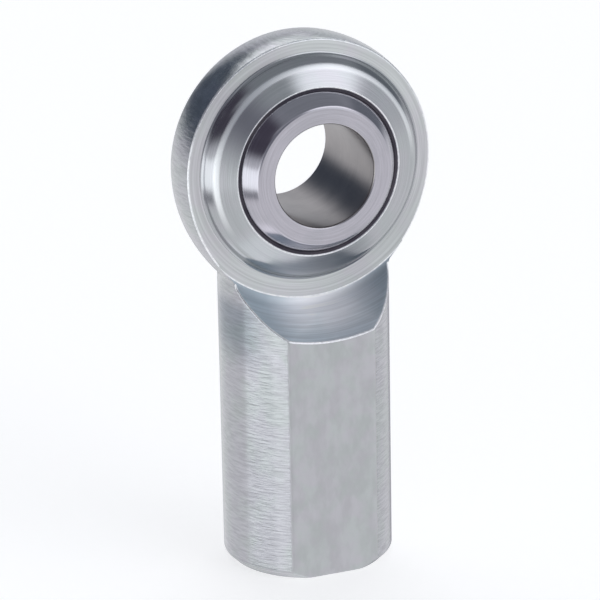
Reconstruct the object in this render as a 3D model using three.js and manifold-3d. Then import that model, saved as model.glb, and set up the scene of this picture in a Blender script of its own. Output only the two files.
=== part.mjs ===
// Female rod end bearing: a threaded body, a swaged race ring, a thin bonded liner and a ball.
// Units are millimetres. The origin is the centre of the shank's end face. Z runs up along the
// shank, Y is the axis of the ball's bore, and X is across both.

import * as THREE from 'three';
import { mergeVertices } from 'three/addons/utils/BufferGeometryUtils.js';
import Module from 'manifold-3d';

const INCH = 25.4;
const DEG = Math.PI / 180;

// Ball
const BORE_R = 0.625 * INCH / 2;
const BALL_R = 1.125 * INCH / 2;
const BALL_HALF_WIDTH = 0.75 * INCH / 2;
const BALL_EDGE_ROUND = 0.8;
const BORE_CHAMFER = 0.35;

// Liner between the ball and the race
const RUNNING_GAP = 0.06;
const LINER_THICKNESS = 0.3;
const BOND_GAP = 0.06;
const LINER_RECESS = 0.2;

// Race ring, pressed into the head and swaged over both of its faces
const RACE_HALF_WIDTH = 0.5625 * INCH / 2;
const RACE_BARREL_R = 16.9;
const RACE_FOOT_R = 17.45;
const SHOULDER_ROUND = 3.5;
const SHOULDER_FOOT_SLOPE = 70 * DEG;
const SHOULDER_TOP_SLOPE = 27 * DEG;

// Body
const BEARING_HEIGHT = 2.5 * INCH;
const HEAD_R = 19.95;
const HEAD_HALF_THICKNESS = 3.65;
const SEAT_GAP = 0.05;
const SHANK_R = 13.1;
const HALF_ACROSS_FLATS = 0.875 * INCH / 2;
const END_CHAMFER = 1.3;
const HEAD_LOWER_R = 23.7; // of the head's section below the bearing axis
const SHANK_FILLET = 2;
const FACE_CUT_R = 20.45;
const NECK_FILLET = 1.6;
const NECK_SLOPE = 61 * DEG;
const NECK_DEPTH = 14;

// Internal thread, 5/8 inch with 18 turns to the inch
const PITCH = INCH / 18;
const THREAD_MAJOR_R = 0.63 * INCH / 2;
const THREAD_MINOR_R = 0.571 * INCH / 2;
const THREAD_DEPTH = 1.375 * INCH;
const THREAD_FLANK = 30 * DEG;
const DRILL_DEPTH = 37.5;
const DRILL_POINT = 59 * DEG;
const COUNTERSINK_R = 8.5;

// How far a cutting solid reaches past the surface that it cuts
const CUTTER_PAST = 1;

// Facets
const TURN_SEGMENTS = 48;
const FACE_CUT_SEGMENTS = 72;
const SHANK_SEGMENTS = 56;
const THREAD_SEGMENTS = 16;
const UPPER_HEAD_STEPS = 11;
const LOWER_HEAD_STEPS = 6;
const BALL_STEPS = 7;
const SOCKET_STEPS = 6;
const FILLET_STEPS = 6;
const EDGE_STEPS = 3;

// Vertices closer than this are one vertex
const MERGE_DISTANCE = 1e-4;

const wasm = await Module();
wasm.setup();

// ---------------------------------------------------------------- profiles and solids

// Points on an arc. Angles are turned from the profile's first coordinate to its second.
function arc(centreR, centreH, radius, from, to, steps) {
  const points = [];
  for (let i = 0; i <= steps; i += 1) {
    const angle = from + (to - from) * i / steps;
    points.push(new THREE.Vector2(
      centreR + radius * Math.cos(angle),
      centreH + radius * Math.sin(angle),
    ));
  }
  return points;
}

// A half profile from the middle plane outwards, led up to by its mirror image.
function mirrored(upperHalf) {
  const lowerHalf = upperHalf.filter((p) => p.y > 0).map((p) => new THREE.Vector2(p.x, -p.y));
  return [...lowerHalf.reverse(), ...upperHalf];
}

// A closed ring section turned about the bearing axis Y.
function turnedRing(section) {
  return new THREE.LatheGeometry([...section, section[0].clone()], TURN_SEGMENTS);
}

function toManifold(geometry) {
  const bare = geometry.clone();
  bare.deleteAttribute('normal');
  bare.deleteAttribute('uv');
  const merged = mergeVertices(bare, MERGE_DISTANCE);
  const index = merged.index.array;
  const triangles = [];
  for (let i = 0; i < index.length; i += 3) {
    const [a, b, c] = [index[i], index[i + 1], index[i + 2]];
    if (a !== b && b !== c && c !== a) {
      triangles.push(a, b, c);
    }
  }
  return new wasm.Manifold(new wasm.Mesh({
    numProp: 3,
    vertProperties: new Float32Array(merged.attributes.position.array),
    triVerts: new Uint32Array(triangles),
  }));
}

function toGeometry(manifold) {
  const mesh = manifold.getMesh();
  const geometry = new THREE.BufferGeometry();
  geometry.setAttribute('position', new THREE.BufferAttribute(mesh.vertProperties, 3));
  geometry.setIndex(new THREE.BufferAttribute(mesh.triVerts, 1));
  geometry.computeVertexNormals();
  return geometry;
}

// ---------------------------------------------------------------- body

// The blank turned about the shank axis: a ball-shaped head that runs into the shank with a
// flatter section below the bearing axis, a fillet and the round shank.
function turnedBlank() {
  const lowerCentre = HEAD_R - HEAD_LOWER_R;
  const filletR = SHANK_R + SHANK_FILLET;
  const filletOut = filletR - lowerCentre;
  const filletDrop = Math.sqrt((HEAD_LOWER_R + SHANK_FILLET) ** 2 - filletOut ** 2);
  const filletZ = BEARING_HEIGHT - filletDrop;
  const lowerEnd = Math.atan2(filletDrop, filletOut);
  const profile = [
    new THREE.Vector2(0, 0),
    new THREE.Vector2(SHANK_R - END_CHAMFER, 0),
    new THREE.Vector2(SHANK_R, END_CHAMFER),
    ...arc(filletR, filletZ, SHANK_FILLET, Math.PI, Math.PI - lowerEnd, FILLET_STEPS),
    ...arc(lowerCentre, BEARING_HEIGHT, HEAD_LOWER_R, -lowerEnd, 0, LOWER_HEAD_STEPS),
    ...arc(0, BEARING_HEIGHT, HEAD_R, 0, Math.PI / 2, UPPER_HEAD_STEPS).slice(1),
  ];
  profile[profile.length - 1].x = 0; // exactly on the axis
  return new THREE.LatheGeometry(profile, SHANK_SEGMENTS).rotateX(Math.PI / 2);
}

// What both face cuts leave, turned about the bearing axis: a disc of the head's thickness
// that opens through a fillet and a cone to more than the shank's width.
function faceCutEnvelope() {
  const far = BEARING_HEIGHT + SHANK_R;
  const filletH = HEAD_HALF_THICKNESS + NECK_FILLET;
  const start = -Math.PI / 2;
  const fillet = arc(FACE_CUT_R, filletH, NECK_FILLET, start, start + NECK_SLOPE, FILLET_STEPS);
  const top = fillet[fillet.length - 1];
  const coneR = top.x + (NECK_DEPTH - top.y) / Math.tan(NECK_SLOPE);
  const upperHalf = [
    new THREE.Vector2(far, NECK_DEPTH),
    new THREE.Vector2(coneR, NECK_DEPTH),
    ...fillet.reverse(),
    new THREE.Vector2(0, HEAD_HALF_THICKNESS),
  ];
  const envelope = new THREE.LatheGeometry(mirrored(upperHalf), FACE_CUT_SEGMENTS);
  return envelope.translate(0, 0, BEARING_HEIGHT);
}

function flatsSlab() {
  const length = 4 * BEARING_HEIGHT;
  return new THREE.BoxGeometry(length, 2 * HALF_ACROSS_FLATS, length);
}

// The seat for the race, with the chamfers that the race is swaged into.
function raceSeat() {
  const chamfer = RACE_FOOT_R - RACE_BARREL_R;
  const wallR = RACE_BARREL_R + SEAT_GAP;
  const upperHalf = [
    new THREE.Vector2(wallR, HEAD_HALF_THICKNESS - chamfer),
    new THREE.Vector2(wallR + chamfer + CUTTER_PAST, HEAD_HALF_THICKNESS + CUTTER_PAST),
    new THREE.Vector2(0, HEAD_HALF_THICKNESS + CUTTER_PAST),
  ];
  const seat = new THREE.LatheGeometry(mirrored(upperHalf), TURN_SEGMENTS);
  return seat.translate(0, 0, BEARING_HEIGHT);
}

// The tapping hole with its drill point and countersunk mouth.
function tappingHole() {
  const profile = [
    new THREE.Vector2(0, -CUTTER_PAST),
    new THREE.Vector2(COUNTERSINK_R + CUTTER_PAST, -CUTTER_PAST),
    new THREE.Vector2(THREAD_MINOR_R, COUNTERSINK_R - THREAD_MINOR_R),
    new THREE.Vector2(THREAD_MINOR_R, DRILL_DEPTH),
    new THREE.Vector2(0, DRILL_DEPTH + THREAD_MINOR_R / Math.tan(DRILL_POINT)),
  ];
  return new THREE.LatheGeometry(profile, THREAD_SEGMENTS).rotateX(Math.PI / 2);
}

// The thread's helix, with frames that keep the section's first axis radial.
class ThreadHelix extends THREE.Curve {
  constructor(startZ, turns) {
    super();
    this.startZ = startZ;
    this.turns = turns;
  }

  getPoint(t, target = new THREE.Vector3()) {
    const angle = 2 * Math.PI * this.turns * t;
    const z = this.startZ + PITCH * this.turns * t;
    return target.set(
      THREAD_MINOR_R * Math.cos(angle),
      THREAD_MINOR_R * Math.sin(angle),
      z,
    );
  }

  computeFrenetFrames(segments) {
    const frames = { tangents: [], normals: [], binormals: [] };
    for (let i = 0; i <= segments; i += 1) {
      const angle = 2 * Math.PI * this.turns * i / segments;
      const normal = new THREE.Vector3(Math.cos(angle), Math.sin(angle), 0);
      const rise = PITCH / (2 * Math.PI * THREAD_MINOR_R);
      const tangent = new THREE.Vector3(-normal.y, normal.x, rise).normalize();
      frames.tangents.push(tangent);
      frames.normals.push(normal);
      frames.binormals.push(new THREE.Vector3().crossVectors(tangent, normal));
    }
    return frames;
  }
}

// The groove that the tap cuts, a 60 degree section swept along the helix.
function threadGroove() {
  const inner = -0.25;
  const outer = THREAD_MAJOR_R - THREAD_MINOR_R;
  const rootHalf = PITCH / 16; // the thread form's flat root is an eighth of the pitch wide
  const mouthHalf = rootHalf + (outer - inner) * Math.tan(THREAD_FLANK);
  const section = new THREE.Shape([
    new THREE.Vector2(inner, -mouthHalf),
    new THREE.Vector2(outer, -rootHalf),
    new THREE.Vector2(outer, rootHalf),
    new THREE.Vector2(inner, mouthHalf),
  ]);
  const startZ = -PITCH;
  const turns = (THREAD_DEPTH - startZ) / PITCH;
  return new THREE.ExtrudeGeometry(section, {
    extrudePath: new ThreadHelix(startZ, turns),
    steps: Math.round(turns * THREAD_SEGMENTS),
  });
}

function rodEndBody() {
  const outside = toManifold(turnedBlank())
    .intersect(toManifold(faceCutEnvelope()))
    .intersect(toManifold(flatsSlab()));
  const hole = toManifold(tappingHole()).add(toManifold(threadGroove()));
  return toGeometry(outside.subtract(toManifold(raceSeat())).subtract(hole));
}

// ---------------------------------------------------------------- race, liner and ball

const LINER_INNER_R = BALL_R + RUNNING_GAP;
const LINER_OUTER_R = LINER_INNER_R + LINER_THICKNESS;
const RACE_INNER_R = LINER_OUTER_R + BOND_GAP;

// Half of a spherical surface's section, from the middle plane out to a half width.
function sphericalHalf(radius, halfWidth) {
  return arc(0, 0, radius, 0, Math.asin(halfWidth / radius), SOCKET_STEPS);
}

function race() {
  const chamfer = RACE_FOOT_R - RACE_BARREL_R;
  const startAngle = Math.PI / 2 - SHOULDER_FOOT_SLOPE;
  const endAngle = Math.PI / 2 - SHOULDER_TOP_SLOPE;
  const centreR = RACE_FOOT_R - SHOULDER_ROUND * Math.cos(startAngle);
  const centreH = HEAD_HALF_THICKNESS - SHOULDER_ROUND * Math.sin(startAngle);
  const shoulder = arc(centreR, centreH, SHOULDER_ROUND, startAngle, endAngle, FILLET_STEPS);
  const outside = mirrored([
    new THREE.Vector2(RACE_BARREL_R, HEAD_HALF_THICKNESS - chamfer),
    ...shoulder,
  ]);
  const inside = mirrored(sphericalHalf(RACE_INNER_R, RACE_HALF_WIDTH));
  return turnedRing([...outside, ...inside.reverse()]);
}

function liner() {
  const halfWidth = RACE_HALF_WIDTH - LINER_RECESS;
  const outside = mirrored(sphericalHalf(LINER_OUTER_R, halfWidth));
  const inside = mirrored(sphericalHalf(LINER_INNER_R, halfWidth));
  return turnedRing([...outside, ...inside.reverse()]);
}

function ball() {
  const roundH = BALL_HALF_WIDTH - BALL_EDGE_ROUND;
  const roundR = Math.sqrt((BALL_R - BALL_EDGE_ROUND) ** 2 - roundH ** 2);
  const edgeAngle = Math.atan2(roundH, roundR);
  return turnedRing(mirrored([
    ...arc(0, 0, BALL_R, 0, edgeAngle, BALL_STEPS),
    ...arc(roundR, roundH, BALL_EDGE_ROUND, edgeAngle, Math.PI / 2, EDGE_STEPS).slice(1),
    new THREE.Vector2(BORE_R + BORE_CHAMFER, BALL_HALF_WIDTH),
    new THREE.Vector2(BORE_R, BALL_HALF_WIDTH - BORE_CHAMFER),
  ]));
}

// ---------------------------------------------------------------- materials and assembly

function metal(color, roughness) {
  return new THREE.MeshStandardMaterial({ color, roughness, metalness: 1 });
}

const zincPlatedSteel = metal(0xb4bbc0, 0.38);
const swagedZincSteel = metal(0xaab3ba, 0.26);
const chromedSteel = metal(0xb5b1b8, 0.16);
const linerFabric = new THREE.MeshStandardMaterial({
  color: 0x2b2f36,
  roughness: 0.8,
  metalness: 0,
});

function node(name, geometry, material, height) {
  const mesh = new THREE.Mesh(geometry, material);
  mesh.name = name;
  mesh.position.z = height;
  return mesh;
}

const rodEnd = new THREE.Group();
rodEnd.add(node('rod_end_body', rodEndBody(), zincPlatedSteel, 0));
rodEnd.add(node('race', race(), swagedZincSteel, BEARING_HEIGHT));
rodEnd.add(node('liner', liner(), linerFabric, BEARING_HEIGHT));
rodEnd.add(node('ball', ball(), chromedSteel, BEARING_HEIGHT));

export default rodEnd;
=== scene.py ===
"""Looks of a female rod end bearing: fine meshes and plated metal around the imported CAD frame."""

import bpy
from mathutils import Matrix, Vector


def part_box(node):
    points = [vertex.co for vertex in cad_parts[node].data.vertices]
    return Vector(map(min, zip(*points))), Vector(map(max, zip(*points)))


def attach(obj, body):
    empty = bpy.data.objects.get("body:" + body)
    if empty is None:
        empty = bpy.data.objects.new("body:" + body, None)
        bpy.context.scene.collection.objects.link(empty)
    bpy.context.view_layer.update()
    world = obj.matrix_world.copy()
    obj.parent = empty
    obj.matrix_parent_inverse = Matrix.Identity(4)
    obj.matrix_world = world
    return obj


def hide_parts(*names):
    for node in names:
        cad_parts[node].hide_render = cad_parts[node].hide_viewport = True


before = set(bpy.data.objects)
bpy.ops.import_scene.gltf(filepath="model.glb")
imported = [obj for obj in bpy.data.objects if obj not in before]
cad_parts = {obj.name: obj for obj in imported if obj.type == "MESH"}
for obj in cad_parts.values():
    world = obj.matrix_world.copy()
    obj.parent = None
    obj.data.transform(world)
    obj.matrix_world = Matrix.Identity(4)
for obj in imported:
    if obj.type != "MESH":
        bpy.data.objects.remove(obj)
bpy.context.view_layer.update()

import math
from functools import partial

import bmesh
import bpy
import numpy as np
from mathutils import Matrix, Vector

MM = 0.001
DEG = math.pi / 180

# ------------------------------------------------------------------ sizes, in millimetres


def half_size(node, axis):
    low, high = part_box(node)
    return (high[axis] - low[axis]) / 2 / MM


def node_top(node):
    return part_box(node)[1][2] / MM


BALL_HALF_WIDTH = half_size("ball", 1)
BALL_R = half_size("ball", 2)
RACE_HALF_WIDTH = half_size("race", 1)
HALF_ACROSS_FLATS = half_size("rod_end_body", 1)
BEARING_HEIGHT = node_top("ball") - BALL_R
HEAD_R = node_top("rod_end_body") - BEARING_HEIGHT

# Ball, and the liner between it and the race.
BORE_R = 7.9375
BORE_ROUND = 0.35
BALL_EDGE_ROUND = 0.8
RUNNING_GAP = 0.06
LINER_THICKNESS = 0.3
BOND_GAP = 0.06
LINER_RECESS = 0.08

# Race: the barrel in its seat, then outwards the swaged foot, the domed shoulder and the lip.
RACE_BARREL_R = 16.9
RACE_FOOT_R = 17.45
RACE_EDGE = 0.06
SEAT_GAP = 0.05
FOOT_OUT = 0.28
FOOT_LIFT = 0.01
FOOT_FILLET = 0.7
FOOT_FLAT_SLOPE = 15 * DEG
SHOULDER_ROUND = 3.3
SHOULDER_FOOT_SLOPE = 67 * DEG
SHOULDER_TOP_SLOPE = 26 * DEG
LIP_ROUND = 0.2
LIP_END = 155 * DEG
# Width of the race's lip that is painted as a highlight.
LIP_HIGHLIGHT = 0.9 * LIP_ROUND

# Body: head, shank and the cuts that shape them.
HEAD_HALF_THICKNESS = 3.65
HEAD_LOWER_R = 23.7
SHANK_R = 13.1
SHANK_FILLET = 2.0
END_CHAMFER = 1.3
FACE_CUT_R = 20.45
# Width of the line just outside the face cut that is painted as a highlight.
CUT_LINE = 0.22
NECK_FILLET = 1.6
NECK_SLOPE = 61 * DEG
EDGE_BREAK = 0.22

# Threaded hole, 5/8-18 UNF.
PITCH = 25.4 / 18
THREAD_MAJOR_R = 8.0
THREAD_MINOR_R = 7.25
THREAD_FLANK = 30 * DEG
THREAD_ROOT_HALF_WIDTH = PITCH / 16
THREAD_DEPTH = 34.9
DRILL_DEPTH = 37.5
DRILL_POINT = 59 * DEG
COUNTERSINK_R = 8.5

# ------------------------------------------------------------------ mesh helpers

WELD = 0.002
RING_SEGMENTS = 288
RING_SHARP_ANGLE = 40 * DEG
SHARP_ANGLE = 30 * DEG


def arc(centre_r, centre_h, radius, start, end, steps):
    """Points (r, h) on an arc, with angles turned from r to h."""
    angles = np.linspace(start, end, steps + 1)
    return [(centre_r + radius * math.cos(a), centre_h + radius * math.sin(a)) for a in angles]


def mirrored(upper_half):
    """A half section from the middle plane outwards, led up to by its mirror image."""
    off_middle = [(r, -h) for r, h in upper_half if h > 1e-9]
    return off_middle[::-1] + upper_half


def add_object(name, bm, sharp_angle):
    """Welds, cleans and shades a bmesh whose units are millimetres, and links it as an object."""
    bmesh.ops.remove_doubles(bm, verts=bm.verts, dist=WELD)
    bmesh.ops.recalc_face_normals(bm, faces=bm.faces)
    bmesh.ops.scale(bm, vec=(MM, MM, MM), verts=bm.verts)
    mesh = bpy.data.meshes.new(name)
    bm.to_mesh(mesh)
    bm.free()
    mesh.shade_smooth()
    mesh.set_sharp_from_angle(angle=sharp_angle)
    piece = bpy.data.objects.new(name, mesh)
    bpy.context.scene.collection.objects.link(piece)
    weighted = piece.modifiers.new("even shading", "WEIGHTED_NORMAL")
    weighted.keep_sharp = True
    return piece


def add_grid(bm, rows, zone=0):
    """Quads between rows of points that all have the same length, in one material zone."""
    made = [[bm.verts.new(point) for point in row] for row in rows]
    for lower, upper in zip(made, made[1:]):
        for k in range(len(lower) - 1):
            face = bm.faces.new((lower[k], lower[k + 1], upper[k + 1], upper[k]))
            face.material_index = zone


def turned_ring(name, section, sharp_angle=RING_SHARP_ANGLE):
    """A closed section of (r, h) points turned about the bearing axis."""
    bm = bmesh.new()
    rows = []
    for r, h in section + section[:1]:
        row = []
        for k in range(RING_SEGMENTS + 1):
            angle = 2 * math.pi * k / RING_SEGMENTS
            row.append((r * math.cos(angle), h, BEARING_HEIGHT + r * math.sin(angle)))
        rows.append(row)
    add_grid(bm, rows)
    return add_object(name, bm, sharp_angle)


# ------------------------------------------------------------------ body: places and cells

NECK_FILLET_END_R = FACE_CUT_R + NECK_FILLET * math.sin(NECK_SLOPE)
NECK_FILLET_END_D = HEAD_HALF_THICKNESS + NECK_FILLET * (1 - math.cos(NECK_SLOPE))
NECK_END_R = NECK_FILLET_END_R + (HALF_ACROSS_FLATS - NECK_FILLET_END_D) / math.tan(NECK_SLOPE)
END_FACE_R = SHANK_R - END_CHAMFER
FLAT_HALF_WIDTH = math.sqrt(SHANK_R**2 - HALF_ACROSS_FLATS**2)
NECK_CORNER_Z = BEARING_HEIGHT - math.sqrt(NECK_END_R**2 - FLAT_HALF_WIDTH**2)
NECK_FOOT_Z = BEARING_HEIGHT - NECK_END_R
SEAT_MOUTH_R = RACE_FOOT_R + SEAT_GAP
SEAT_WALL_R = RACE_BARREL_R + SEAT_GAP

BODY_ZONES = ["turned", "milled", "faced", "neck", "seat", "cut_end", "hole", "edge"]
SIDE_COLUMNS = 26
CROWN_ROWS = 60
LOWER_HEAD_ROWS = 40
FILLET_ROWS = 8
NECK_ROWS = 22
SHANK_ROWS = 60
CHAMFER_ROWS = 3
FLAT_COLUMNS = 7
FACE_COLUMNS = 8
NECK_COLUMNS = 26
THREAD_ROWS_PER_TURN = 16

# The first cell beside a crease is EDGE_CELL wide where it can be, so that the crease can be
# broken by EDGE_BREAK. An edge with less than EDGE_ROOM beside it stays sharp.
EDGE_CELL = 0.48
EDGE_ROOM = 1.2 * EDGE_BREAK
EDGE_SEGMENTS = 3
CREASE_ANGLE = 22 * DEG
BODY_SHARP_ANGLE = 38 * DEG
BISECTIONS = 60

CHAMFER_RADII = [SHANK_R - END_CHAMFER * k / CHAMFER_ROWS for k in range(CHAMFER_ROWS + 1)]


def steps_from_crease(length, columns):
    """Shares of a length whose first step leaves room for a broken edge."""
    first = min(EDGE_CELL / max(length, 1e-6), 0.5)
    return [0.0] + list(np.linspace(first, 1, columns))


def levels(top, bottom, rows):
    """Heights of the rows below a top row, down to a bottom row."""
    return np.linspace(top, bottom, rows + 1)[1:]


def face_depth(rho):
    """Half thickness that the face cuts leave at a distance from the bearing axis."""
    if rho <= FACE_CUT_R:
        return HEAD_HALF_THICKNESS
    if rho <= NECK_FILLET_END_R:
        along = rho - FACE_CUT_R
        return HEAD_HALF_THICKNESS + NECK_FILLET - math.sqrt(NECK_FILLET**2 - along**2)
    cone = NECK_FILLET_END_D + (rho - NECK_FILLET_END_R) * math.tan(NECK_SLOPE)
    return min(cone, HALF_ACROSS_FLATS)


def crease_depth(r, drop):
    """Depth at which a ring of the turned blank meets the face cut, drop below the bearing axis."""
    low, high = 0.0, r
    for _ in range(BISECTIONS):
        middle = (low + high) / 2
        if face_depth(math.hypot(math.sqrt(r * r - middle * middle), drop)) > middle:
            low = middle
        else:
            high = middle
    return low


# ------------------------------------------------------------------ body: a quarter of its outside
# Each grid is a list of rows of (x, depth, z) points, in the quarter where x and depth are
# positive, and grids that meet share their points.


def crown_rows():
    """The ball-shaped upper half of the head, in rows that turn about the bearing axis."""
    rim_angle = math.asin(HEAD_HALF_THICKNESS / HEAD_R)
    shares = steps_from_crease(rim_angle * HEAD_R, SIDE_COLUMNS)
    depths = [HEAD_R * math.sin(rim_angle * (1 - share)) for share in shares]
    reaches = [math.sqrt(HEAD_R**2 - depth**2) for depth in depths]
    rows = []
    for angle in np.linspace(math.pi / 2, 0, CROWN_ROWS + 1):
        rows.append([
            (reach * math.cos(angle), depth, BEARING_HEIGHT + reach * math.sin(angle))
            for reach, depth in zip(reaches, depths)
        ])
    return rows


def ring_row(r, z):
    """A row round the turned blank, from its crease with a cut to its side."""
    crease_angle = math.asin(crease_depth(r, BEARING_HEIGHT - z) / r)
    shares = steps_from_crease(crease_angle * r, SIDE_COLUMNS)
    angles = [crease_angle * (1 - share) for share in shares]
    return [(r * math.cos(a), r * math.sin(a), z) for a in angles]


def neck_rows():
    """The flatter lower half of the head, its fillet, and the shank down to the flat's corner."""
    lower_centre = HEAD_R - HEAD_LOWER_R
    fillet_r = SHANK_R + SHANK_FILLET
    fillet_out = fillet_r - lower_centre
    fillet_drop = math.sqrt((HEAD_LOWER_R + SHANK_FILLET) ** 2 - fillet_out**2)
    fillet_z = BEARING_HEIGHT - fillet_drop
    lower_end = math.atan2(fillet_drop, fillet_out)
    lower = arc(lower_centre, BEARING_HEIGHT, HEAD_LOWER_R, 0, -lower_end, LOWER_HEAD_ROWS)
    fillet = arc(fillet_r, fillet_z, SHANK_FILLET, math.pi - lower_end, math.pi, FILLET_ROWS)
    rows = [ring_row(r, z) for r, z in lower[1:] + fillet[1:]]
    return rows + [ring_row(SHANK_R, z) for z in levels(fillet[-1][1], NECK_CORNER_Z, NECK_ROWS)]


def shank_rows():
    """The shank beside the flat, then the chamfer at its end."""
    rows = [ring_row(SHANK_R, z) for z in levels(NECK_CORNER_Z, END_CHAMFER, SHANK_ROWS)]
    return rows + [ring_row(r, r - END_FACE_R) for r in CHAMFER_RADII[1:]]


def flat_foot():
    """The flat's lower edge as (x, z) points: down the chamfer, then in to the middle."""
    edge = [(math.sqrt(r**2 - HALF_ACROSS_FLATS**2), r - END_FACE_R) for r in CHAMFER_RADII]
    corner_x = edge[-1][0]
    shares = [1 - k / FLAT_COLUMNS for k in range(1, FLAT_COLUMNS + 1)]
    return edge + [(corner_x * share, 0.0) for share in shares]


def flat_rows(neck_arc, foot):
    """The flat, from the arc where the neck runs out on it to its lower edge."""
    rows = []
    for share in np.linspace(0, 1, SHANK_ROWS + 1):
        pairs = zip(neck_arc, foot)
        rows.append([(x, depth, top + share * (z - top)) for (x, depth, top), (_, z) in pairs])
    return rows


def inward_rows(crease):
    """Rays from the crease to the race seat: over the neck, the cut line, which is painted as a
    highlight, and the head's face.
    """
    neck, cut_line, face = [], [], []
    for x, _, z in crease:
        rho = math.hypot(x, z - BEARING_HEIGHT)
        across, up = x / rho, (z - BEARING_HEIGHT) / rho
        line = min(rho, FACE_CUT_R + CUT_LINE)
        turn = min(rho, FACE_CUT_R)
        on_neck = steps_from_crease(rho - line, NECK_COLUMNS)
        on_face = steps_from_crease(turn - SEAT_MOUTH_R, FACE_COLUMNS)
        for rows, reaches in (
            (neck, [rho + (line - rho) * share for share in on_neck]),
            (cut_line, [line, turn]),
            (face, [turn + (SEAT_MOUTH_R - turn) * share for share in on_face]),
        ):
            rows.append([(r * across, face_depth(r), BEARING_HEIGHT + r * up) for r in reaches])
    return neck, cut_line, face


def seat_rows(face):
    """The race seat: its swaging chamfer, and its wall down to the middle plane."""
    chamfer_end = HEAD_HALF_THICKNESS - (SEAT_MOUTH_R - SEAT_WALL_R)
    steps = [(SEAT_MOUTH_R, HEAD_HALF_THICKNESS), (SEAT_WALL_R, chamfer_end), (SEAT_WALL_R, 0.0)]
    rows = []
    for row in face:
        x, _, z = row[-1]
        across, up = x / SEAT_MOUTH_R, (z - BEARING_HEIGHT) / SEAT_MOUTH_R
        rows.append([(r * across, depth, BEARING_HEIGHT + r * up) for r, depth in steps])
    return rows


def end_rows(outline):
    """The end face, from (x, depth) points of its outline in to the countersink."""
    rows = []
    for k, (x, depth) in enumerate(outline):
        angle = math.pi / 2 * k / (len(outline) - 1)
        to_x = COUNTERSINK_R * math.cos(angle) - x
        to_depth = COUNTERSINK_R * math.sin(angle) - depth
        rows.append([(x + to_x * share, depth + to_depth * share, 0.0) for share in (0, 0.5, 1)])
    return rows


def body_quarter():
    """The grids of a quarter of the outside, by material zone."""
    above_flat = crown_rows() + neck_rows()
    side = above_flat + shank_rows()
    foot = flat_foot()
    neck_arc = [
        (x, HALF_ACROSS_FLATS, BEARING_HEIGHT - math.sqrt(NECK_END_R**2 - x**2)) for x, _ in foot
    ]
    neck, cut_line, face = inward_rows([row[0] for row in above_flat] + neck_arc[1:])
    end_outline = [(x, depth) for x, depth, _ in reversed(side[-1])]
    end_outline += [(x, HALF_ACROSS_FLATS) for x, _ in foot[CHAMFER_ROWS + 1:]]
    # The cut line goes in the edge zone, which is painted as a highlight.
    return {
        "turned": side, "milled": flat_rows(neck_arc, foot), "faced": face, "edge": cut_line,
        "neck": neck, "seat": seat_rows(face), "cut_end": end_rows(end_outline),
    }


# ------------------------------------------------------------------ body: hole, edges and the whole


def thread_radius(z, turn):
    """Radius of the threaded hole's wall at a height and a turn angle, as a share of a turn."""
    share = (z / PITCH - turn) % 1.0
    from_root = max(0.0, abs(share - 0.5) * PITCH - THREAD_ROOT_HALF_WIDTH)
    flank = THREAD_MAJOR_R - from_root / math.tan(THREAD_FLANK)
    fade = min(1.0, max(0.0, (THREAD_DEPTH - z) / PITCH))
    thread = THREAD_MINOR_R + fade * (max(THREAD_MINOR_R, flank) - THREAD_MINOR_R)
    return max(thread, COUNTERSINK_R - z)


def threaded_hole(bm):
    """Helical rows from the mouth to the drill depth, then the drill point."""
    columns = 4 * (SIDE_COLUMNS + FLAT_COLUMNS)
    turns = [i / columns for i in range(columns + 1)]
    rows = int((DRILL_DEPTH / PITCH + 2) * THREAD_ROWS_PER_TURN) + 1
    grid = []
    for m in range(rows + 1):
        row = []
        for turn in turns:
            z = min(max(PITCH * (m / THREAD_ROWS_PER_TURN - 1 + turn), 0.0), DRILL_DEPTH)
            r = thread_radius(z, turn)
            angle = 2 * math.pi * turn
            row.append((r * math.cos(angle), r * math.sin(angle), z))
        grid.append(row)
    add_grid(bm, grid, BODY_ZONES.index("hole"))
    tip = DRILL_DEPTH + THREAD_MINOR_R / math.tan(DRILL_POINT)
    angles = [2 * math.pi * i / columns for i in range(columns + 1)]
    point = []
    for share in (1.0, 0.5, 0.0):
        z = tip - (tip - DRILL_DEPTH) * share
        r = THREAD_MINOR_R * share
        point.append([(r * math.cos(a), r * math.sin(a), z) for a in angles])
    add_grid(bm, point, BODY_ZONES.index("hole"))


def has_room(edge):
    """Whether the faces beside an edge are wide enough for it to be broken."""
    for face in edge.link_faces:
        for vert in edge.verts:
            beside = next(e for e in face.edges if e is not edge and vert in e.verts)
            if beside.calc_length() < EDGE_ROOM:
                return False
    return True


def is_unhighlighted_edge(face):
    """Whether a broken edge runs beside the flat or below the neck, where it gets no painted
    highlight.
    """
    x, _, z = face.calc_center_median()
    beside_flat = abs(x) > FLAT_HALF_WIDTH - EDGE_BREAK and z < NECK_CORNER_Z - EDGE_BREAK
    below_neck = z < NECK_FOOT_Z - EDGE_BREAK
    return face.material_index == BODY_ZONES.index("edge") and (beside_flat or below_neck)


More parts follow.
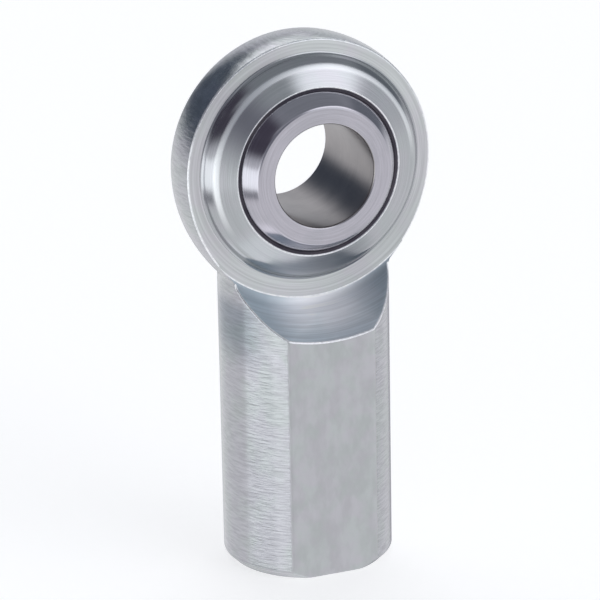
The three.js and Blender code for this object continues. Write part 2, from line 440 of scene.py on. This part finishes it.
def rod_end_body():
    """The quarter mirrored into the whole outside, its creases broken, and the hole added."""
    bm = bmesh.new()
    for zone, grid in body_quarter().items():
        for sign_x in (1, -1):
            for sign_y in (1, -1):
                rows = [[(sign_x * x, sign_y * depth, z) for x, depth, z in row] for row in grid]
                add_grid(bm, rows, BODY_ZONES.index(zone))
    bmesh.ops.remove_doubles(bm, verts=bm.verts, dist=WELD)
    bmesh.ops.recalc_face_normals(bm, faces=bm.faces)
    inner_edges = [e for e in bm.edges if len(e.link_faces) == 2]
    creases = [e for e in inner_edges if e.calc_face_angle() > CREASE_ANGLE]
    # The broken edges are painted as highlights, except beside the flat and below the neck.
    bmesh.ops.bevel(
        bm, geom=[e for e in creases if has_room(e)], offset=EDGE_BREAK, segments=EDGE_SEGMENTS,
        profile=0.5, affect="EDGES", clamp_overlap=False, material=BODY_ZONES.index("edge"),
    )
    for face in bm.faces:
        if is_unhighlighted_edge(face):
            face.material_index = BODY_ZONES.index("milled")
    threaded_hole(bm)
    return add_object("rod_end_body_fine", bm, BODY_SHARP_ANGLE)


# ------------------------------------------------------------------ race, liner and ball

LINER_INNER_R = BALL_R + RUNNING_GAP
LINER_OUTER_R = LINER_INNER_R + LINER_THICKNESS
RACE_INNER_R = LINER_OUTER_R + BOND_GAP


def spherical_half(radius, half_width):
    """Half the section of a ball-shaped wall, from the middle plane to its end."""
    return arc(0, 0, radius, 0, math.asin(half_width / radius), steps=16)


def race():
    """A ring with a thin swaged foot over the head's face, a fillet and a domed shoulder."""
    chamfer = RACE_FOOT_R - RACE_BARREL_R
    edge_h = HEAD_HALF_THICKNESS + RACE_EDGE
    foot_r = RACE_FOOT_R + FOOT_OUT + FOOT_FILLET * math.sin(FOOT_FLAT_SLOPE)
    foot_h = edge_h + FOOT_FILLET * math.cos(FOOT_FLAT_SLOPE)
    fillet_start = -math.pi / 2 - FOOT_FLAT_SLOPE
    fillet_end = -math.pi / 2 - SHOULDER_FOOT_SLOPE
    both = FOOT_FILLET + SHOULDER_ROUND
    dome_r = foot_r - both * math.sin(SHOULDER_FOOT_SLOPE)
    dome_h = foot_h - both * math.cos(SHOULDER_FOOT_SLOPE)
    dome_start = math.pi / 2 - SHOULDER_FOOT_SLOPE
    dome_end = math.pi / 2 - SHOULDER_TOP_SLOPE
    lip_h = RACE_HALF_WIDTH - LIP_ROUND
    lip_r = math.sqrt(RACE_INNER_R**2 - RACE_HALF_WIDTH**2) + LIP_ROUND
    outside = mirrored(
        [(RACE_BARREL_R, HEAD_HALF_THICKNESS - chamfer), (RACE_FOOT_R, HEAD_HALF_THICKNESS)]
        + [(RACE_FOOT_R + FOOT_OUT, HEAD_HALF_THICKNESS + FOOT_LIFT)]
        + arc(foot_r, foot_h, FOOT_FILLET, fillet_start, fillet_end, steps=10)
        + arc(dome_r, dome_h, SHOULDER_ROUND, dome_start, dome_end, steps=18)[1:]
        + arc(lip_r, lip_h, LIP_ROUND, dome_end, LIP_END, steps=8)
    )
    inside = mirrored(spherical_half(RACE_INNER_R, lip_h - LIP_ROUND / 2))
    piece = turned_ring("race_fine", outside + inside[::-1])
    # The lip is painted as a highlight, with the edge metal.
    for face in piece.data.polygons:
        on_lip = abs(face.center.y) > (RACE_HALF_WIDTH - LIP_HIGHLIGHT) * MM
        face.material_index = 1 if on_lip else 0
    return piece


def liner():
    """A thin shell that takes up half of the gap on each of its sides."""
    half_width = RACE_HALF_WIDTH - LINER_RECESS
    outside = mirrored(spherical_half(LINER_OUTER_R + BOND_GAP / 2, half_width))
    inside = mirrored(spherical_half(LINER_INNER_R - RUNNING_GAP / 2, half_width))
    return turned_ring("liner_fine", outside + inside[::-1], SHARP_ANGLE)


def ball():
    """A ball with rounded edges round its two flat faces and its bore."""
    round_h = BALL_HALF_WIDTH - BALL_EDGE_ROUND
    round_r = math.sqrt((BALL_R - BALL_EDGE_ROUND) ** 2 - round_h**2)
    edge_angle = math.atan2(round_h, round_r)
    bore_h = BALL_HALF_WIDTH - BORE_ROUND
    section = mirrored(
        arc(0, 0, BALL_R, 0, edge_angle, steps=28)
        + arc(round_r, round_h, BALL_EDGE_ROUND, edge_angle, math.pi / 2, steps=8)[1:]
        + arc(BORE_R + BORE_ROUND, bore_h, BORE_ROUND, math.pi / 2, math.pi, steps=6)
    )
    piece = turned_ring("ball_fine", section)
    for face in piece.data.polygons:
        off_axis = math.hypot(face.center.x, face.center.z - BEARING_HEIGHT * MM)
        face.material_index = 1 if off_axis < (BORE_R + BORE_ROUND / 2) * MM else 0
    return piece


# ------------------------------------------------------------------ node helpers


def add(tree, kind, *values, output=0, named=(), **settings):
    """Adds a shader node, fills its inputs with values or links, and returns an output."""
    made = tree.nodes.new("ShaderNode" + kind)
    for name, value in settings.items():
        setattr(made, name, value)
    given = list(zip(made.inputs, values))
    given += [(made.inputs[name], value) for name, value in dict(named).items()]
    for socket, value in given:
        if isinstance(value, bpy.types.NodeSocket):
            tree.links.new(value, socket)
        elif value is not None:
            socket.default_value = value
    return made.outputs[output]


def separated(tree, vector):
    """The three numbers of a vector."""
    split = tree.nodes.new("ShaderNodeSeparateXYZ")
    tree.links.new(vector, split.inputs[0])
    return split.outputs


def maths(tree, operation, *values):
    return add(tree, "Math", *values, operation=operation)


def mix_colours(tree, share, first, second, blend="MIX"):
    """A Mix node, whose inputs 0, 6 and 7 and output 2 are the ones for colours."""
    chosen = {0: share, 6: first, 7: second}
    values = [chosen.get(k) for k in range(8)]
    return add(tree, "Mix", *values, output=2, data_type="RGBA", blend_type=blend)


def ramp(tree, value, low, high, to_low=0.0, to_high=1.0):
    """A smooth step from one number to another."""
    return add(tree, "MapRange", value, low, high, to_low, to_high, interpolation_type="SMOOTHSTEP")


def noise(tree, vector, scale, detail=2.0, roughness=0.5, distortion=0.0):
    named = {"Scale": scale, "Detail": detail, "Roughness": roughness, "Distortion": distortion}
    return add(tree, "TexNoise", vector, named=named)


# ------------------------------------------------------------------ where marks, painted highlights and painted shade lie

# How much closer rings follow each other along the bearing axis than across it.
RINGS_ALONG_AXIS = 1.4

# Painted highlight: a bright band round the upper part of the race's shoulder.
SHOULDER_HIGHLIGHT_R = 15.9
SHOULDER_HIGHLIGHT_EDGE = (0.16, 0.55)
SHOULDER_HIGHLIGHT_LEAN = 0.3
SHOULDER_HIGHLIGHT_BOTTOM = (-6.0, 3.0)

# Painted shade on the neck: darker towards both ends and along its outer edge.
NECK_SHADE_MIDDLE = 1.5
NECK_SHADE_SIDE = (2.0, 10.5)
NECK_SHADE_RIM = (23.0, 25.5)
NECK_RIM_SHADE = 0.75

# Painted shade on one side of the shank, just under the head: where it lies and how dark it is.
SHANK_SHADE_SIDE = (-12.6, -9.0)
SHANK_SHADE_BOTTOM = (32.0, 39.0)
SHANK_SHADE_TOP = (42.0, 45.0)
SHANK_SHADE_SHARE = 0.8


def object_axes(tree):
    """Object coordinates in millimetres, as three numbers."""
    place = add(tree, "TexCoord", output="Object")
    return [maths(tree, "MULTIPLY", axis, 1 / MM) for axis in separated(tree, place)]


def scaled(tree, axes, scales):
    """The axes, each stretched by its own number of cells per millimetre."""
    stretched = [maths(tree, "MULTIPLY", axis, scale) for axis, scale in zip(axes, scales)]
    return add(tree, "CombineXYZ", *stretched)


def hypotenuse(tree, first, second):
    squares = [maths(tree, "MULTIPLY", side, side) for side in (first, second)]
    return maths(tree, "SQRT", maths(tree, "ADD", *squares))


def above_bearing(tree, axes):
    return maths(tree, "SUBTRACT", axes[2], BEARING_HEIGHT)


def bearing_radius(tree, axes):
    """Distance from the bearing axis."""
    return hypotenuse(tree, axes[0], above_bearing(tree, axes))


def turned_on_bearing(tree, axes, across, around):
    """Coordinates whose noise runs in rings around the bearing axis: cells across and around."""
    x, y, _ = axes
    up = above_bearing(tree, axes)
    radius = bearing_radius(tree, axes)
    ring = maths(tree, "ADD", radius, maths(tree, "MULTIPLY", y, RINGS_ALONG_AXIS))
    turn_x = maths(tree, "MULTIPLY", maths(tree, "DIVIDE", x, radius), around)
    turn_z = maths(tree, "MULTIPLY", maths(tree, "DIVIDE", up, radius), around)
    return add(tree, "CombineXYZ", turn_x, maths(tree, "MULTIPLY", ring, across), turn_z)


def turned_on_shank(tree, axes, across, around):
    """Coordinates whose noise runs in rings around the shank's axis: cells across and around."""
    x, y, z = axes
    ring = maths(tree, "ADD", z, hypotenuse(tree, x, y))
    return scaled(tree, (x, y, ring), (around, around, across))


def around_shank(tree, axes):
    """Direction of tool marks cut while the part turned about the shank."""
    x, y, _ = axes
    return add(tree, "CombineXYZ", maths(tree, "MULTIPLY", y, -1.0), x, 0.0)


def around_bearing(tree, axes):
    """Direction of tool marks cut while the part turned about the bearing axis."""
    against_x = maths(tree, "MULTIPLY", axes[0], -1.0)
    return add(tree, "CombineXYZ", above_bearing(tree, axes), 0.0, against_x)


def race_shoulder_highlight(tree, axes):
    """Painted highlight: where a bright band is painted round the upper part of the race's
    shoulder.
    """
    off = maths(tree, "SUBTRACT", bearing_radius(tree, axes), SHOULDER_HIGHLIGHT_R)
    band = ramp(tree, maths(tree, "ABSOLUTE", off), *SHOULDER_HIGHLIGHT_EDGE, 1.0, 0.0)
    lean = maths(tree, "MULTIPLY", axes[0], SHOULDER_HIGHLIGHT_LEAN)
    up = maths(tree, "SUBTRACT", above_bearing(tree, axes), lean)
    return maths(tree, "MULTIPLY", band, ramp(tree, up, *SHOULDER_HIGHLIGHT_BOTTOM))


def neck_painted_shade(tree, axes):
    """Painted shade: darker towards both ends of the neck and along its outer edge."""
    off_middle = maths(tree, "SUBTRACT", axes[0], NECK_SHADE_MIDDLE)
    ends = ramp(tree, maths(tree, "ABSOLUTE", off_middle), *NECK_SHADE_SIDE)
    outer = ramp(tree, bearing_radius(tree, axes), *NECK_SHADE_RIM, 0.0, NECK_RIM_SHADE)
    return maths(tree, "MAXIMUM", ends, outer)


def shank_painted_shade(tree, axes):
    """Painted shade: a darker patch on one side of the shank, just under the head."""
    side = ramp(tree, axes[0], *SHANK_SHADE_SIDE, 1.0, 0.0)
    bottom = ramp(tree, axes[2], *SHANK_SHADE_BOTTOM)
    top = ramp(tree, axes[2], *SHANK_SHADE_TOP, 1.0, 0.0)
    patch = maths(tree, "MULTIPLY", side, maths(tree, "MULTIPLY", bottom, top))
    return maths(tree, "MULTIPLY", patch, SHANK_SHADE_SHARE)


# ------------------------------------------------------------------ metals

# Tints: each metal's patches vary between its two linear colours.
ZINC = ((0.500, 0.522, 0.526), (0.520, 0.515, 0.545))
TURNED_ZINC = ((0.455, 0.475, 0.482), (0.470, 0.468, 0.500))
FLAT_ZINC = ((0.520, 0.543, 0.547), (0.541, 0.536, 0.565))
FACED_ZINC = ((0.565, 0.588, 0.592), (0.585, 0.580, 0.612))
# The neck's tint is far lighter than the other zinc: painted light, so that the neck comes out
# bright.
LIGHTENED_NECK_ZINC = ((0.85, 0.89, 0.93), (0.92, 0.93, 0.97))
RACE_ZINC = ((0.448, 0.468, 0.482), (0.465, 0.468, 0.495))
# Painted highlight colour: the race's shoulder band, the broken edges, the cut line and the race's
# lip.
HIGHLIGHT_ZINC = ((0.88, 0.90, 0.92), (0.94, 0.94, 0.97))
# Painted shade: darker zinc in the race seat and the threaded hole.
SHADED_RECESS_ZINC = ((0.36, 0.37, 0.38), (0.42, 0.42, 0.45))
CHROME = ((0.455, 0.447, 0.492), (0.485, 0.470, 0.520))
BORE_STEEL = ((0.300, 0.284, 0.288), (0.345, 0.325, 0.328))
LINER_CLOTH = ((0.085, 0.078, 0.100), (0.120, 0.110, 0.130))
# Colour that painted shade multiplies into the metal.
PAINTED_SHADE_TINT = (0.52, 0.58, 0.62)

# How much rougher the metal is where a highlight is painted.
HIGHLIGHT_ROUGHNESS = 0.22
GRAINS_PER_MM = 9.0
# Noise values between which one tint gives way to the other, and between which most values lie.
PATCH_EDGE = (0.375, 0.625)
NOISE_RANGE = (0.3, 0.7)
# A quarter turn, so that highlights stretch across the grooves.
ACROSS_GROOVES = 0.25


def metal(
    name, tints, roughness, marks, depth, spread=0.08, grain=0.0015, mottle=0.16,
    brushed=0.0, grooves=None, contrast=0.06, painted_highlight=None, painted_shade=None,
):
    """Metal with tool marks in relief, fine grain, and patches of two tints and two glosses.

    marks is a function of the tree and the axes that gives the tool marks' coordinates, depth is
    their relief and grain the fine relief, both in millimetres; mottle is patches per millimetre.
    contrast is how much the tool marks vary the colour, and spread how much the roughness varies.
    Finer marks than these stretch highlights across them, by brushed; they run along grooves.
    The last two arguments are functions of the tree and the axes that give where a highlight
    is painted into the colour, with rougher metal there, and where shade is painted into it.
    """
    material = bpy.data.materials.new(name)
    material.use_nodes = True
    tree = material.node_tree
    shader = tree.nodes["Principled BSDF"]
    shader.inputs["Metallic"].default_value = 1.0
    axes = object_axes(tree)
    everywhere = scaled(tree, axes, (1, 1, 1))
    tool = noise(tree, marks(tree, axes), 1.0, detail=3.0, roughness=0.55, distortion=0.12)
    fine = noise(tree, everywhere, GRAINS_PER_MM, roughness=0.6)
    cloud = noise(tree, everywhere, mottle, detail=4.0, roughness=0.6, distortion=0.4)
    tint = mix_colours(tree, ramp(tree, cloud, *PATCH_EDGE), (*tints[0], 1), (*tints[1], 1))
    shade = ramp(tree, tool, *NOISE_RANGE, 1 - contrast, 1 + contrast)
    colour = mix_colours(tree, 1.0, tint, shade, "MULTIPLY")
    uneven = [maths(tree, "MULTIPLY", pattern, spread) for pattern in (tool, cloud)]
    gloss = maths(tree, "ADD", maths(tree, "ADD", *uneven), roughness - spread)
    # Painted highlight: the colour is lightened, and the metal roughened, where the mask says.
    if painted_highlight:
        highlight_mask = painted_highlight(tree, axes)
        colour = mix_colours(tree, highlight_mask, colour, (*HIGHLIGHT_ZINC[0], 1))
        gloss = maths(tree, "ADD", gloss, maths(tree, "MULTIPLY", highlight_mask, HIGHLIGHT_ROUGHNESS))
    # Painted shade: the colour is darkened where the mask says.
    if painted_shade:
        colour = mix_colours(tree, painted_shade(tree, axes), colour, (*PAINTED_SHADE_TINT, 1), "MULTIPLY")
    tree.links.new(colour, shader.inputs["Base Color"])
    tree.links.new(gloss, shader.inputs["Roughness"])
    relief = maths(tree, "MULTIPLY", tool, depth * MM)
    grains = maths(tree, "MULTIPLY", fine, grain * MM)
    height = maths(tree, "ADD", relief, grains)
    bump = add(tree, "Bump", named={"Strength": 1.0, "Distance": 1.0, "Height": height})
    tree.links.new(bump, shader.inputs["Normal"])
    if grooves:
        shader.inputs["Anisotropic"].default_value = brushed
        shader.inputs["Anisotropic Rotation"].default_value = ACROSS_GROOVES
        along = add(
            tree, "VectorTransform", grooves(tree, axes),
            vector_type="VECTOR", convert_from="OBJECT", convert_to="WORLD",
        )
        tree.links.new(along, shader.inputs["Tangent"])
    return material


rings = partial(turned_on_bearing, across=4.0, around=1.2)
weave = partial(turned_on_bearing, across=5.0, around=40.0)


def body_materials():
    """The body's metals by zone."""
    return {
        # The shank's metal has a painted shade patch just under the head.
        "turned": metal(
            "zinc_on_turned_steel", TURNED_ZINC, 0.23,
            partial(turned_on_shank, across=2.9, around=0.38), depth=0.046, spread=0.06,
            brushed=0.70, grooves=around_shank, contrast=0.11, painted_shade=shank_painted_shade,
        ),
        "milled": metal(
            "zinc_on_milled_flat", FLAT_ZINC, 0.42,
            partial(scaled, scales=(0.55, 0.5, 0.30)), depth=0.0030, mottle=0.30,
        ),
        "faced": metal(
            "zinc_on_faced_steel", FACED_ZINC, 0.30,
            partial(turned_on_bearing, across=3.4, around=1.0), depth=0.0080,
            brushed=0.80, grooves=around_bearing, contrast=0.12,
        ),
        # The neck's metal: painted light in its lighter tint, and painted shade towards its ends
        # and outer edge.
        "neck": metal(
            "zinc_on_cut_neck_painted_light_and_shade", LIGHTENED_NECK_ZINC, 0.50,
            partial(turned_on_bearing, across=2.4, around=1.4), depth=0.0200, mottle=0.12,
            brushed=0.85, grooves=around_bearing, contrast=0.12, painted_shade=neck_painted_shade,
        ),
        # The race seat and the threaded hole are painted darker: painted shade in these recesses.
        "seat": metal(
            "zinc_in_race_seat", SHADED_RECESS_ZINC, 0.35,
            partial(turned_on_bearing, across=4.0, around=1.5), depth=0.002,
        ),
        "cut_end": metal(
            "zinc_on_sawn_end", ZINC, 0.36,
            partial(scaled, scales=(0.8, 0.8, 1.0)), depth=0.003,
        ),
        "hole": metal(
            "zinc_in_threads", SHADED_RECESS_ZINC, 0.34,
            partial(scaled, scales=(0.5, 0.5, 6.0)), depth=0.002,
        ),
        # Painted highlight: the broken edges, the cut line and the race's lip are painted much
        # lighter than the zinc.
        "edge": metal(
            "zinc_edge_painted_highlight", HIGHLIGHT_ZINC, 0.42,
            partial(scaled, scales=(1.8, 1.8, 1.8)), depth=0.060, contrast=0.12,
        ),
    }


# The race's metal has a painted highlight band on the upper part of its shoulder.
def swaged_race_metal():
    return metal(
        "zinc_on_swaged_race", RACE_ZINC, 0.17, rings, depth=0.0012, spread=0.06,
        brushed=0.3, grooves=around_bearing, painted_highlight=race_shoulder_highlight,
    )


def liner_material():
    return metal("liner_cloth", LINER_CLOTH, 0.7, weave, depth=0.01)


def ball_chrome():
    return metal(
        "hard_chrome", CHROME, 0.17, rings, depth=0.0003, spread=0.05, grain=0.0004,
        brushed=0.2, grooves=around_bearing,
    )


def bore_metal():
    return metal(
        "honed_bore", BORE_STEEL, 0.31, rings, depth=0.0012, grain=0.0008,
        brushed=0.4, grooves=around_bearing,
    )


# ------------------------------------------------------------------ studio

# Name, azimuth, elevation, half width, half height and soft edge in degrees, then the light's
# colour. Azimuth 0 is the front and 90 is +X, and a later panel covers an earlier one.
PANELS = [
    ("dark_room_left_low", -74, 25, 40, 13, 14, (0.085, 0.078, 0.105)),
    ("dark_room_left_high", -92, 45, 24, 13, 14, (0.085, 0.078, 0.105)),
    ("dark_room_right", 100, 20, 24, 19, 16, (0.20, 0.22, 0.25)),
    ("camera_stand", -10, 10, 20, 18, 12, (0.24, 0.25, 0.29)),
    ("softbox_left", -73, -12, 33, 11, 5, (1.68, 1.74, 1.76)),
    ("softbox_front", 34, 31, 18, 12, 12, (1.72, 1.72, 1.80)),
    ("softbox_front_skirt", 27, 10, 11, 14, 10, (1.12, 1.15, 1.18)),
    ("softbox_behind", 172, 46, 24, 12, 12, (1.70, 1.72, 1.76)),
    ("softbox_right_high", 142, 40, 14, 10, 12, (1.30, 1.34, 1.36)),
    ("dark_room_behind", -150, 20, 26, 20, 14, (0.09, 0.11, 0.15)),
    ("gap_low_left", -88, -29, 19, 4, 6, (0.34, 0.35, 0.38)),
    ("gap_low_right", 105, -60, 28, 8, 12, (0.45, 0.47, 0.50)),
    ("gap_low_behind", 150, -30, 16, 18, 16, (0.42, 0.42, 0.46)),
    ("bounce_card_behind", -175, -76, 26, 8, 10, (1.25, 1.25, 1.30)),
    ("bounce_card_front", 35, -74, 32, 9, 10, (1.20, 1.22, 1.26)),
]
ROOM_BELOW = (0.91, 0.92, 0.94, 1)
ROOM_LEVEL = (0.72, 0.74, 0.78, 1)
ROOM_ABOVE = (0.31, 0.33, 0.36, 1)
BACKDROP = (1.0, 1.0, 1.0, 1)

# Heights on the unit sphere of directions between which the room's tone changes.
BELOW_TO_LEVEL = (-0.25, 0.25)
LEVEL_TO_ABOVE = (0.2, 0.8)
# Keeps a panel to the half of the sphere that its middle is in.
SAME_HALF = (0.0, 0.05)


def direction(azimuth, elevation):
    """Unit vector towards an azimuth and an elevation in degrees."""
    a, e = azimuth * DEG, elevation * DEG
    return Vector((math.sin(a) * math.cos(e), -math.cos(a) * math.cos(e), math.sin(e)))


def dot(tree, ray, axis):
    return add(tree, "VectorMath", ray, axis, output="Value", operation="DOT_PRODUCT")


def panel_mask(tree, ray, azimuth, elevation, half_width, half_height, soft):
    """How much of a soft-edged rectangle of light or shade a ray's direction meets."""
    ahead = direction(azimuth, elevation)
    side = direction(azimuth + 90, 0)
    above = ahead.cross(side)
    mask = ramp(tree, dot(tree, ray, ahead), *SAME_HALF)
    for axis, half in ((side, half_width), (above, half_height)):
        off = maths(tree, "ABSOLUTE", dot(tree, ray, axis))
        outer = math.sin((half + soft / 2) * DEG)
        inner = math.sin(max(half - soft / 2, 0) * DEG)
        mask = maths(tree, "MULTIPLY", mask, ramp(tree, off, inner, outer, 1.0, 0.0))
    return mask


def add_world():
    """A white room with softboxes and dark gaps, drawn from the direction of each ray."""
    world = bpy.data.worlds.new("studio")
    world.use_nodes = True
    tree = world.node_tree
    ray = add(tree, "TexCoord", output="Generated")
    height = separated(tree, ray)[2]
    room = mix_colours(tree, ramp(tree, height, *BELOW_TO_LEVEL), ROOM_BELOW, ROOM_LEVEL)
    room = mix_colours(tree, ramp(tree, height, *LEVEL_TO_ABOVE), room, ROOM_ABOVE)
    for _, azimuth, elevation, half_width, half_height, soft, colour in PANELS:
        mask = panel_mask(tree, ray, azimuth, elevation, half_width, half_height, soft)
        room = mix_colours(tree, mask, room, (*colour, 1))
    seen = add(tree, "LightPath", output="Is Camera Ray")
    shown = mix_colours(tree, seen, room, BACKDROP)
    tree.links.new(shown, tree.nodes["Background"].inputs["Color"])
    bpy.context.scene.world = world
    bpy.context.scene.view_settings.view_transform = "Standard"


FLOOR_HALF = 6000.0
FLOOR_GLOW = 0.61
FLOOR_ROUGHNESS = 0.9
PAPER = ((0.80, 0.80, 0.80, 1), (0.82, 0.82, 0.82, 1))
FIBRES_PER_MM = 0.6


def floor_material():
    """Matt white paper, which glows a little so that it comes out white."""
    material = bpy.data.materials.new("white_sweep")
    material.use_nodes = True
    tree = material.node_tree
    shader = tree.nodes["Principled BSDF"]
    shader.inputs["Roughness"].default_value = FLOOR_ROUGHNESS
    shader.inputs["Specular IOR Level"].default_value = 0.0
    fibres = noise(tree, scaled(tree, object_axes(tree), (1, 1, 1)), FIBRES_PER_MM, detail=3.0)
    paper = mix_colours(tree, ramp(tree, fibres, *NOISE_RANGE), *PAPER)
    tree.links.new(paper, shader.inputs["Base Color"])
    shader.inputs["Emission Color"].default_value = (1, 1, 1, 1)
    shader.inputs["Emission Strength"].default_value = FLOOR_GLOW
    return material


def add_floor():
    """A plain white sweep under the part, which doesn't show in its metal."""
    bm = bmesh.new()
    ends = (-FLOOR_HALF, FLOOR_HALF)
    add_grid(bm, [[(x, y, 0.0) for x in ends] for y in ends])
    floor = add_object("floor", bm, SHARP_ANGLE)
    floor.data.materials.append(floor_material())
    floor.visible_glossy = False


# ------------------------------------------------------------------ camera

# The middle of the view lies AIM_LEFT and AIM_BELOW from the bearing's centre, in millimetres.
CAMERA_AZIMUTH = -22.14
CAMERA_ELEVATION = 18.93
CAMERA_ROLL = -1.10 * DEG
CAMERA_DISTANCE = 558.0
AIM_LEFT = 0.1057
AIM_BELOW = 21.191
CAMERA_LENS = 221.82
SENSOR = 36.0
CLIP_NEAR = 0.01
CLIP_FAR = 20


def add_camera():
    """A long lens from the front left, a little above, framed on the whole part."""
    back = direction(CAMERA_AZIMUTH, CAMERA_ELEVATION)
    level_right = direction(CAMERA_AZIMUTH + 90, 0)
    level_up = back.cross(level_right)
    right = math.cos(CAMERA_ROLL) * level_right + math.sin(CAMERA_ROLL) * level_up
    up = math.cos(CAMERA_ROLL) * level_up - math.sin(CAMERA_ROLL) * level_right
    bearing = Vector((0, 0, BEARING_HEIGHT))
    place = (bearing + CAMERA_DISTANCE * back - AIM_LEFT * right - AIM_BELOW * up) * MM
    data = bpy.data.cameras.new("camera")
    data.sensor_width = SENSOR
    data.lens = CAMERA_LENS
    data.clip_start = CLIP_NEAR
    data.clip_end = CLIP_FAR
    camera = bpy.data.objects.new("camera", data)
    rotation = Matrix((right, up, back)).transposed()
    camera.matrix_world = Matrix.Translation(place) @ rotation.to_4x4()
    bpy.context.scene.collection.objects.link(camera)
    bpy.context.scene.camera = camera


# ------------------------------------------------------------------ the whole scene

add_camera()
pieces = {
    "rod_end_body": (rod_end_body(), "housing", "zinc_plated_steel"),
    "race": (race(), "housing", "swaged_zinc_steel"),
    "liner": (liner(), "liner_turn", "liner_fabric"),
    "ball": (ball(), "ball", "chromed_steel"),
}
for node, (piece, body, slot) in pieces.items():
    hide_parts(node)
    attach(piece, body)

body_looks = body_materials()
looks = {
    "rod_end_body": [body_looks[zone] for zone in BODY_ZONES],
    # The race's lip takes the edge metal, which is a painted highlight.
    "race": [swaged_race_metal(), body_looks["edge"]],
    "liner": [liner_material()],
    "ball": [ball_chrome(), bore_metal()],
}
for node, materials in looks.items():
    for material in materials:
        pieces[node][0].data.materials.append(material)

add_world()
add_floor()
